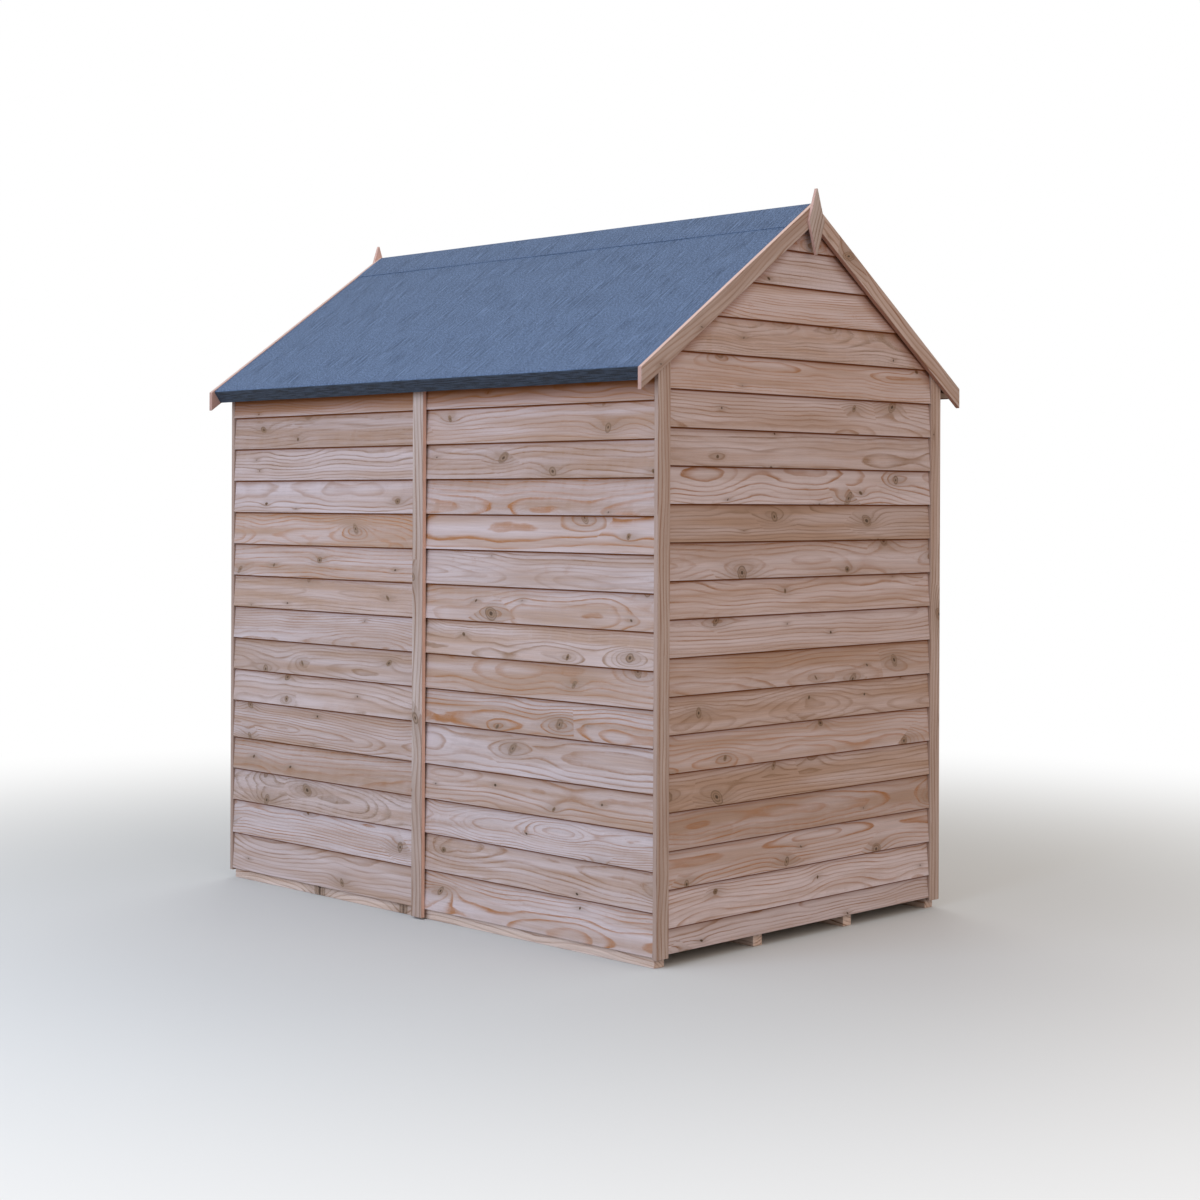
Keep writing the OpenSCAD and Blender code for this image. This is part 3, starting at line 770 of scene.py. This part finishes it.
for end, front in (("back", 1), ("front", -1)):
    for side, sign in (("right", 1), ("left", -1)):
        node = f"{end}_{side}_corner_strip"
        low, high = box_mm(node)
        outer_y = outer_face(low, high, front)
        outline = [(low.z, gable_half), (low.z, side_face), (roof_under(side_face), side_face),
                   (roof_under(gable_half), gable_half)]
        place = placing((0, front * outer_y, 0), (0, 0, 1), (sign, 0, 0), (0, -front, 0))
        lay_planks(f"{end}_{side}_corner_trim", [(outline, place, side_face)], planed_trim, "trim", node,
                   thickness=TRIM_T, eased=TRIM_EASED, tone=CORNER_TONES[side], edge=TRIM_EDGE_SHADES["corner"])

        node = f"{end}_{side}_barge_board"
        low, high = box_mm(node)
        outer_y = outer_face(low, high, front)
        reach = max(high.x, -low.x)
        drop = high.z - SLOPE * reach - low.z
        corners = [(0, -drop), (reach, -drop - SLOPE * reach), (reach, -SLOPE * reach), (0, 0)]
        outline = turned(corners, PITCH)
        place = placing((0, front * outer_y, high.z), (sign * math.cos(PITCH), 0, -math.sin(PITCH)),
                        (sign * math.sin(PITCH), 0, math.cos(PITCH)), (0, -front, 0))
        lay_planks(f"{end}_{side}_barge", [(outline, place, 0)], planed_trim, "trim", node,
                   thickness=TRIM_T, eased=TRIM_EASED, tone=BARGE_TONES[side], edge=TRIM_EDGE_SHADES["barge"])

    node = f"{end}_finial"
    low, high = box_mm(node)
    outer_y = outer_face(low, high, front)
    waist = (low.z + high.z) / 2
    half = high.z - waist
    corners = [(-half, -FINIAL_FOOT / 2), (-half, FINIAL_FOOT / 2), (0, high.x),
               (half, FINIAL_TOP / 2), (half, -FINIAL_TOP / 2), (0, -high.x)]
    # A finial is sawn from a strip on the slant, so its grain runs along two of its edges
    slant = math.atan(high.x / half)
    outline = turned(corners, slant)
    place = placing((0, front * outer_y, waist), (-math.sin(slant), 0, math.cos(slant)),
                    (math.cos(slant), 0, math.sin(slant)), (0, -front, 0))
    lay_planks(f"{end}_diamond_finial", [(outline, place, 0)], planed_trim, "trim", node,
               thickness=high.y - low.y, eased=FINIAL_EASED, tone=FINIAL_TONE, edge=TRIM_EDGE_SHADES["finial"])

for side, sign in (("right", 1), ("left", -1)):
    node = f"{side}_cover_strip"
    low, high = box_mm(node)
    outer_x = high.x if sign == 1 else -low.x
    head = roof_under(outer_x)
    outline = [(low.z, low.y), (low.z, high.y), (head, high.y), (head, low.y)]
    place = placing((sign * outer_x, 0, 0), (0, 0, 1), (0, 1, 0), (-sign, 0, 0))
    lay_planks(f"{side}_joint_strip", [(outline, place, 0)], planed_trim, "trim", node,
               thickness=TRIM_T, eased=TRIM_EASED, tone=JOINT_TONE, edge=TRIM_EDGE_SHADES["joint"])

# %% [markdown]
# ## Floor bearers and framing
#
# The bearers under the floor show their sawn ends below the back gable, so each is a plank with
# its own grain, whose rings show on the ends. The studs, rails and rafters could be planks too, but
# they only show inside, so they stay as the CAD made them and take the same sawn timber, with the
# grain turned along each piece.

# %% Bearers and framing
BEARERS = 4
BEARER_W = 36
bearer_low, bearer_high = box_mm("floor_bearers")
bearer_pitch = (bearer_high.x - bearer_low.x - BEARER_W) / (BEARERS - 1)
bearer_place = placing((0, 0, bearer_high.z), (0, 1, 0), (1, 0, 0), (0, 0, -1))
bearers = []
for i in range(BEARERS):
    x = bearer_low.x + i * bearer_pitch
    bearers.append(([(bearer_low.y, x), (bearer_high.y, x), (bearer_high.y, x + BEARER_W),
                     (bearer_low.y, x + BEARER_W)], bearer_place, x))
# Sawn: rough, and coloured paler than the boards, as painted light that offsets the shade under the lowest
# lips
LIT_BEARER = dict(TRIM, early="#dcc5b8", dull="#c4a48e")
sawn_bearers = softwood("sawn_spruce_bearers", LIT_BEARER, roughness=0.85)
lay_planks("sawn_bearers", bearers, sawn_bearers, "framing", "floor_bearers",
           thickness=bearer_high.z, eased=TRIM_EASED)

FRAMING_AXES = {
    "left_wall_studs": "Z", "right_wall_studs": "Z", "left_wall_rails": "Y", "right_wall_rails": "Y",
    "back_gable_studs": "Z", "back_gable_rail": "X", "back_gable_rafters": "X",
    "front_gable_studs": "Z", "front_gable_rails": "X", "front_gable_rafters": "X",
    "door_ledges": "X", "door_braces": "Z", "left_eave_rail": "Y", "right_eave_rail": "Y",
    "ridge_beam": "Y",
}


def finish_node(node, material):
    """Gives a CAD node that stays as it is its material."""
    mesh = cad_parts[node].data
    mesh.materials.clear()
    mesh.materials.append(material)


for node, axis in FRAMING_AXES.items():
    finish_node(node, sawn[axis])
print("framing nodes:", len(FRAMING_AXES))

# %% [markdown]
# ## Strand board
#
# The deck and the roof boards are pressed from flat strands of wood in all directions, glued and
# waxed, which gives a mottled face with a dull sheen. Single strands could be laid as meshes, but
# they lie flush. So cells of a Voronoi pattern, stretched and turned at random, give the strands,
# and each cell takes its own tint.

# %% Strand board material
# Length, width and depth of a strand in millimetres
STRAND_MM = (75, 18, 50)
# Strands turn by up to this angle, in radians, over patches of this many millimetres
STRAND_TURN = 9
PATCH_MM = 125
STRAND = {"dark": linear("#8f7048"), "light": linear("#c0a074")}
strand_board, tree = new_material("pressed_strand_board")
where = add(tree, "VectorMath", {"Vector": add(tree, "TexCoord").outputs["Object"], "Scale": 1000},
            operation="SCALE")
patch = add(tree, "VectorMath", {"Vector": where, "Scale": 1 / PATCH_MM}, operation="SCALE")
patch = add(tree, "TexNoise", {"Vector": patch, "Scale": 1, "Detail": 0})
angle = add(tree, "Math", [patch, STRAND_TURN], operation="MULTIPLY")
laid = add(tree, "VectorRotate", {"Vector": where, "Angle": angle}, rotation_type="Z_AXIS")
laid = add(tree, "VectorMath", [laid, [1 / s for s in STRAND_MM]], operation="MULTIPLY")
strands = add(tree, "TexVoronoi", {"Vector": laid, "Scale": 1})
tone = add(tree, "SeparateColor", [strands.outputs["Color"]])
strand_colour = add(tree, "Mix", [tone, STRAND["dark"], STRAND["light"]], data_type="RGBA")
strand_bump = add(tree, "Bump", {"Strength": 0.4, "Distance": 0.0006, "Height": tone})
shader = add(tree, "BsdfPrincipled",
             {"Base Color": strand_colour, "Roughness": 0.7, "Normal": strand_bump})
add(tree, "OutputMaterial", [shader])
for node in ("floor_deck", "left_roof_board", "right_roof_board"):
    finish_node(node, strand_board)
print("strands of", STRAND_MM[0], "by", STRAND_MM[1], "mm")

# %% [markdown]
# ## Roofing felt
#
# The roof wears slate blue mineral felt: a sheet of bitumen faced with fine slate chips. It is
# rolled down the slope, turned over the eave and nailed, and a narrow strip laps over the ridge.
# The chips are pressed in by a roller, which gives a matte grain and drags fine lines down the
# sheet, in groups. The band turned down at the eave is painted darker, as painted shade, and is
# marked the other way. A thin lofted sheet with a round fold and a slight swell lies as felt does,
# where the CAD's sharp solid would look like sheet metal. Each point carries its distance down the
# slope and along the roof, so that the marks follow the sheet.

# %% Felt material
# Sizes of the marks in millimetres, down the slope, along the roof and into the sheet. Real chips
# are about 1 mm across, too fine to show, so they are drawn coarser
FELT_MARKS = {"streak": (80, 3.0, 9), "drag": (130, 4.0, 9), "chip": (5.0, 4.4, 4.4),
              "patch": (120, 90, 90), "edge": (3.6, 60, 9)}
# How much chips and drags count beside the lines
CHIP_WEIGHT = 1.1
DRAG_WEIGHT = 0.2
FELT = {"dark": linear("#31435d"), "light": linear("#647794")}
# The band turned down at the eave is painted darker than the slope: painted shade
FELT_BAND_SHADE = {"dark": linear("#151b25"), "light": linear("#2f3846")}
felt, tree = new_material("slate_faced_felt")
lie = add(tree, "Attribute", attribute_name="grain").outputs["Vector"]
lie = add(tree, "VectorMath", {"Vector": lie, "Scale": 1000}, operation="SCALE")
felt_marks = {}
for mark, size in FELT_MARKS.items():
    scaled = add(tree, "VectorMath", [lie, [1 / s for s in size]], operation="MULTIPLY")
    felt_marks[mark] = add(tree, "TexNoise", {"Vector": scaled, "Scale": 1, "Detail": 2})
group = add(tree, "MapRange", [felt_marks["patch"], 0.42, 0.6, 0.3, 1.6])
lines = add(tree, "MapRange", [felt_marks["streak"], 0.44, 0.62, -0.08, 0.12],
            interpolation_type="SMOOTHSTEP")
lines = add(tree, "Math", [lines, group], operation="MULTIPLY")
marks = add(tree, "Math", [felt_marks["chip"], CHIP_WEIGHT, lines], operation="MULTIPLY_ADD")
marks = add(tree, "Math", [felt_marks["drag"], DRAG_WEIGHT, marks], operation="MULTIPLY_ADD")
tone = add(tree, "MapRange", [marks, 0.48, 0.81, 0, 1])
band = add(tree, "Attribute", attribute_name="seed").outputs["Fac"]
edge_tone = add(tree, "MapRange", [felt_marks["edge"], 0.42, 0.58, 0, 1])
felt_colour = add(tree, "Mix", [tone, FELT["dark"], FELT["light"]], data_type="RGBA")
shaded_band_colour = add(tree, "Mix", [edge_tone, FELT_BAND_SHADE["dark"], FELT_BAND_SHADE["light"]], data_type="RGBA")
# Painted shade: the band at the eave takes the darker felt
felt_colour = add(tree, "Mix", [band, felt_colour, shaded_band_colour], data_type="RGBA")
felt_bump = add(tree, "Bump", {"Strength": 1.0, "Distance": 0.002, "Height": marks})
shader = add(tree, "BsdfPrincipled", {"Base Color": felt_colour, "Roughness": 0.85, "Normal": felt_bump})
add(tree, "OutputMaterial", [shader])
print("marks on the felt:", ", ".join(FELT_MARKS))

# %% Felt sheets
# Thickness of the sheet, radius of its fold and depth of the band turned down at the eave
FELT_T = 3
FOLD_R = 5
EAVE_DROP = 41
# How far the sheets and the ridge strip swell, over waves of this length down and along the roof
SWELL = 0.8
STRIP_SWELL = 0.3
SWELL_WAVES = (260, 310)
# Pieces of a sheet along the roof, down the slope and round the fold
ALONG_ROOF = 48
DOWN_SLOPE = 20
ROUND_FOLD = 6
felt_low, felt_high = box_mm("right_roof_felt")
ridge_z = felt_high.z
felt_run = felt_high.x / math.cos(PITCH)
roof_ends = (felt_low.y, felt_high.y)


def lay_felt(name, outer, inner, sign, node, swell):
    """Lofts a sheet between an outer and an inner line, given as x and z, from end to end."""
    rows = len(outer)
    points, lie, bands = [], [], []
    for i in range(ALONG_ROOF + 1):
        y = roof_ends[0] + (roof_ends[1] - roof_ends[0]) * i / ALONG_ROOF
        run = 0
        for j in range(rows):
            if j:
                run += math.dist(outer[j], outer[j - 1])
            rise = swell * noise.noise(Vector((run / SWELL_WAVES[0], y / SWELL_WAVES[1], len(name))))
            x, z = outer[j]
            points.append(Vector((sign * x, y, z + rise)) * MM)
            lie.append(Vector((run, y, 0)) * MM)
            points.append(Vector((sign * inner[j][0], y, inner[j][1])) * MM)
            lie.append(Vector((run, y, FELT_T)) * MM)
            # The band turned down at the eave is marked for its painted shade
            bands += [1.0 if run > felt_run else 0.0] * 2
    faces = []
    for i in range(ALONG_ROOF):
        a, b = i * rows * 2, (i + 1) * rows * 2
        for j in range(rows - 1):
            faces.append([a + 2 * j, a + 2 * j + 2, b + 2 * j + 2, b + 2 * j])
            faces.append([a + 2 * j + 1, b + 2 * j + 1, b + 2 * j + 3, a + 2 * j + 3])
        for j in (0, rows - 1):
            faces.append([a + 2 * j, b + 2 * j, b + 2 * j + 1, a + 2 * j + 1])
    for i in (0, ALONG_ROOF):
        a = i * rows * 2
        for j in range(rows - 1):
            faces.append([a + 2 * j, a + 2 * j + 1, a + 2 * j + 3, a + 2 * j + 2])
    mesh_piece(name, points, faces, felt, "felt", [node], lie, bands)


def from_slope(run, out):
    """The x and z of a point, from its distance down the slope and out of it."""
    x = run * math.cos(PITCH) + out * math.sin(PITCH)
    z = ridge_z - run * math.sin(PITCH) + out * math.cos(PITCH)
    return x, z


slope_outer = [(felt_run * i / DOWN_SLOPE, 0) for i in range(DOWN_SLOPE)]
slope_inner = [(max(run, FELT_T * SLOPE), -FELT_T) for run, _ in slope_outer]
for i in range(ROUND_FOLD + 1):
    turn = math.radians(90 / ROUND_FOLD * i)
    slope_outer.append((felt_run - FOLD_R + FOLD_R * math.sin(turn), FOLD_R * math.cos(turn) - FOLD_R))
    slope_inner.append((felt_run - FOLD_R + (FOLD_R - FELT_T) * math.sin(turn),
                        (FOLD_R - FELT_T) * math.cos(turn) - FOLD_R))
for i in (1, 2, 3):
    down = FOLD_R + (EAVE_DROP - FOLD_R) * i / 3
    slope_outer.append((felt_run, -down))
    slope_inner.append((felt_run - FELT_T, -down))
for side, sign in (("right", 1), ("left", -1)):
    lay_felt(f"{side}_felt_sheet", [from_slope(*p) for p in slope_outer],
             [from_slope(*p) for p in slope_inner], sign, f"{side}_roof_felt", SWELL)

# The strip lies over both slopes: its reach down each, its thin edge, and its round top, which
# sinks by a little from this close to the ridge
STRIP_REACH = 121
STRIP_EDGE = 1.6
NEAR_RIDGE = 6
NEAR_SINK = 0.3
TOP_SINK = 1.2
strip_top = box_mm("ridge_felt")[1].z
runs = [STRIP_REACH * i / 5 for i in (5, 4, 3, 2, 1)]
right_outer = [from_slope(run, FELT_T if run < STRIP_REACH else STRIP_EDGE) for run in runs]
right_inner = [from_slope(run, 0) for run in runs]
right_outer.append(from_slope(NEAR_RIDGE, FELT_T - NEAR_SINK))
right_inner.append(from_slope(NEAR_RIDGE, 0))
outer = right_outer + [(0, strip_top - TOP_SINK)] + [(-x, z) for x, z in right_outer[::-1]]
inner = right_inner + [(0, ridge_z)] + [(-x, z) for x, z in right_inner[::-1]]
lay_felt("ridge_felt_strip", outer, inner, 1, "ridge_felt", STRIP_SWELL)

# %% [markdown]
# ## Door furniture
#
# The door hangs on two tee hinges pressed from steel strip and japanned, that is dipped in black
# varnish and baked. That gives a dark skin with a soft gloss, uneven like orange peel, and it hides
# the metal, so the shader is a varnish and not a metal. A wooden turn button keeps the door shut.
# The hinges could stay as CAD solids, but pressed steel has eased edges and a rolled barrel in
# three knuckles, and it is held by round screw heads.

# %% Hinges and button
# Bumps of the varnish in a metre: each is about 2 mm across
PEEL_SCALE = 450
black_steel, tree = new_material("japanned_steel")
spot = add(tree, "TexCoord").outputs["Object"]
skin = add(tree, "TexNoise", {"Vector": spot, "Scale": PEEL_SCALE, "Detail": 2})
skin_rough = add(tree, "MapRange", [skin, 0.3, 0.7, 0.34, 0.55])
skin_colour = add(tree, "Mix", [skin, linear("#1d1e20"), linear("#2d2e31")], data_type="RGBA")
skin_bump = add(tree, "Bump", {"Strength": 0.25, "Distance": 0.0002, "Height": skin})
shader = add(tree, "BsdfPrincipled",
             {"Base Color": skin_colour, "Roughness": skin_rough, "Normal": skin_bump})
add(tree, "OutputMaterial", [shader])

# Length of the strap and of its point, its width at the pin and at its tip, and the plate's width
STRAP_L = 250
POINT_L = 6
STRAP_ROOT = 28
STRAP_TIP = 11.2
PLATE_W = 34
# Thickness of the steel, ease of its edges, gap beside the pin, and the barrel in its knuckles
HINGE_T = 3
HINGE_EASED = 0.7
PIN_GAP = 1
BARREL_R = 5
KNUCKLES = 3
KNUCKLE_GAP = 0.3
# Places of the screws, as shares of half the plate and in millimetres along the strap
PLATE_SCREWS = (-0.72, 0.72, 0)
STRAP_SCREWS = (40, 120, 205)
# Screw heads, as heights and radii
HINGE_SCREW = [(0, 4), (0.6, 4), (1.5, 3), (1.9, 1.4)]
BUTTON_SCREW = [(0, 5), (0.8, 5), (2, 3.6), (2.5, 1.6)]
FULL_TURN = 6.28319


def round_solid(outline, centre, axis, sides=20):
    """Points and faces of a solid turned from an outline of distance along the axis and radius."""
    turn_to = Vector((0, 0, 1)).rotation_difference(Vector(axis)).to_matrix()
    points, faces = [], []
    for along, radius in outline:
        for i in range(sides):
            angle = FULL_TURN * i / sides
            point = Vector((radius * math.cos(angle), radius * math.sin(angle), along))
            points.append((Vector(centre) + turn_to @ point) * MM)
    for ring in range(len(outline) - 1):
        near = ring * sides
        far = near + sides
        for i in range(sides):
            j = (i + 1) % sides
            faces.append([near + i, near + j, far + j, far + i])
    faces.append(list(range(sides))[::-1])
    faces.append([(len(outline) - 1) * sides + i for i in range(sides)])
    return points, faces


def tee_hinge(name, node):
    """A plate, a tapered strap, a barrel between them and their screws, joined as one piece."""
    low, high = box_mm(node)
    pin_x = low.x + PLATE_W
    middle = (low.z + high.z) / 2
    face = -gable_face
    half = (high.z - low.z) / 2
    place = placing((pin_x, face - HINGE_T, middle), (1, 0, 0), (0, 0, 1), (0, 1, 0))
    solids = []
    plate = [(-PLATE_W, -half), (-PIN_GAP, -half), (-PIN_GAP, half), (-PLATE_W, half)]
    point = STRAP_L - POINT_L
    strap = [(PIN_GAP, -STRAP_ROOT / 2), (point, -STRAP_TIP / 2), (STRAP_L, 0), (point, STRAP_TIP / 2),
             (PIN_GAP, STRAP_ROOT / 2)]
    for outline in (plate, strap):
        cut = cut_plank(outline, HINGE_T, HINGE_EASED, 1)
        cut.verts.index_update()
        solids.append(([place @ vert.co for vert in cut.verts],
                       [[vert.index for vert in f.verts] for f in cut.faces]))
        cut.free()
    knuckle = 2 * half / KNUCKLES
    rim = BARREL_R - HINGE_EASED
    end = knuckle - 2 * KNUCKLE_GAP
    barrel = [(0, rim), (HINGE_EASED, BARREL_R), (end - HINGE_EASED, BARREL_R), (end, rim)]
    for i in range(KNUCKLES):
        start = middle - half + knuckle * i + KNUCKLE_GAP
        solids.append(round_solid(barrel, (pin_x, face - BARREL_R, start), (0, 0, 1)))
    screws = [(pin_x - PLATE_W / 2, middle + half * share) for share in PLATE_SCREWS]
    screws += [(pin_x + along, middle) for along in STRAP_SCREWS]
    for x, z in screws:
        solids.append(round_solid(HINGE_SCREW, (x, face - HINGE_T + 0.1, z), (0, -1, 0), 14))
    points, faces = [], []
    for solid_points, solid_faces in solids:
        faces += [[len(points) + i for i in f] for f in solid_faces]
        points += solid_points
    mesh_piece(name, points, faces, black_steel, "hinge", [node])


for height in ("upper", "lower"):
    tee_hinge(f"{height}_tee_hinge", f"{height}_door_hinge")

button_low, button_high = box_mm("door_turn_button")
button_half = (button_high.z - button_low.z) / 2
button_mid = (button_high.z + button_low.z) / 2
outline = []
# Its ends are half circles
for end_x, start in ((button_low.x + button_half, 90), (button_high.x - button_half, -90)):
    for i in range(13):
        angle = math.radians(start + 15 * i)
        outline.append((end_x + button_half * math.cos(angle), button_mid + button_half * math.sin(angle)))
button_place = placing((0, button_low.y, 0), (1, 0, 0), (0, 0, 1), (0, 1, 0))
lay_planks("turn_button", [(outline, button_place, button_mid)], planed_trim, "trim", "door_turn_button",
           thickness=button_high.y - button_low.y, eased=2)
button_screw = round_solid(BUTTON_SCREW, (door_high.x, button_low.y + 0.2, button_mid), (0, -1, 0), 16)
mesh_piece("turn_button_screw", *button_screw, black_steel, "hinge", [])

# %% [markdown]
# ## Floor and light
#
# The shed stands on a plain pale floor that keeps its shadow and fades to the white background.
# The light is a bright soft sky from all round, with a cool lamp on the long side and a warmer,
# weaker one on the gable, so that the two walls part as they do in daylight, and a plain lamp for
# the far walls. A white floor could give a white background too, but it would throw too much light
# up under the eaves. So the floor is pale, and fades to white, only for rays that come from the
# camera, also by way of gloss or glass. For all other light it is grey.

# %% Floor
# Radius of the floor, and the distances from the shed at which it starts to fade and is white, in
# metres
FLOOR_R = 40
FLOOR_FADE = (1.35, 4.2)
FLOOR_SEEN = linear("#c8c7c4")
FLOOR_BOUNCE = linear("#919294")


def seen_rays(tree):
    """One for a ray from the camera, also by way of gloss or glass, and zero for other light."""
    paths = add(tree, "LightPath")
    seen = paths.outputs["Is Camera Ray"]
    for kind in ("Is Glossy Ray", "Is Transmission Ray"):
        seen = add(tree, "Math", [seen, paths.outputs[kind]], operation="MAXIMUM")
    return seen


floor_material, tree = new_material("pale_floor")
spot = add(tree, "TexCoord").outputs["Object"]
distance = add(tree, "VectorMath", [spot], operation="LENGTH").outputs["Value"]
faded = add(tree, "MapRange", [distance, *FLOOR_FADE, 0, 1], interpolation_type="SMOOTHSTEP")
seen = seen_rays(tree)
fade = add(tree, "Math", [faded, seen], operation="MULTIPLY")
shade = add(tree, "Mix", [seen, FLOOR_BOUNCE, FLOOR_SEEN], data_type="RGBA")
matte = add(tree, "BsdfPrincipled", {"Base Color": shade, "Roughness": 0.9})
white = add(tree, "Emission", {"Color": linear("#ffffff"), "Strength": 1})
add(tree, "OutputMaterial", [add(tree, "MixShader", [fade, matte, white])])
bpy.ops.mesh.primitive_circle_add(vertices=96, radius=FLOOR_R, fill_type="NGON")
floor = bpy.context.object
floor.name = "floor"
floor.data.materials.append(floor_material)
print("floor fades over", FLOOR_FADE, "m")

# %% World and lamps
scene.view_settings.view_transform = "Standard"
SKY_LEVEL = 0.75
# Each lamp's place and target in metres, its power in watts and its colour
LAMP_SIZE = 4.0
LAMPS = {
    "side_lamp": ((5.0, 0.0, 3.0), (0.3, 0, 0.8), 202, "#cae1ff"),
    "gable_lamp": ((0.2, 5.2, 2.9), (0, 0.5, 0.9), 50, "#ffd8b9"),
    "fill_lamp": ((-4.0, -4.0, 4.5), (0, 0, 0.9), 70, "#ffffff"),
}

world = bpy.data.worlds.new("soft_sky")
scene.world = world
world.use_nodes = True
tree = world.node_tree
tree.nodes.clear()
sky = add(tree, "Background", {"Color": linear("#ffffff"), "Strength": SKY_LEVEL})
backdrop = add(tree, "Background", {"Color": linear("#ffffff"), "Strength": 1})
add(tree, "OutputWorld", [add(tree, "MixShader", [seen_rays(tree), sky, backdrop])])

for name, (place, target, watts, colour) in LAMPS.items():
    lamp_data = bpy.data.lights.new(name, "AREA")
    lamp_data.size = LAMP_SIZE
    lamp_data.energy = watts
    lamp_data.color = linear(colour)[:3]
    lamp = bpy.data.objects.new(name, lamp_data)
    scene.collection.objects.link(lamp)
    lamp.location = place
    lamp.rotation_euler = (Vector(target) - Vector(place)).to_track_quat("-Z", "Y").to_euler()
print("lamps:", ", ".join(LAMPS))
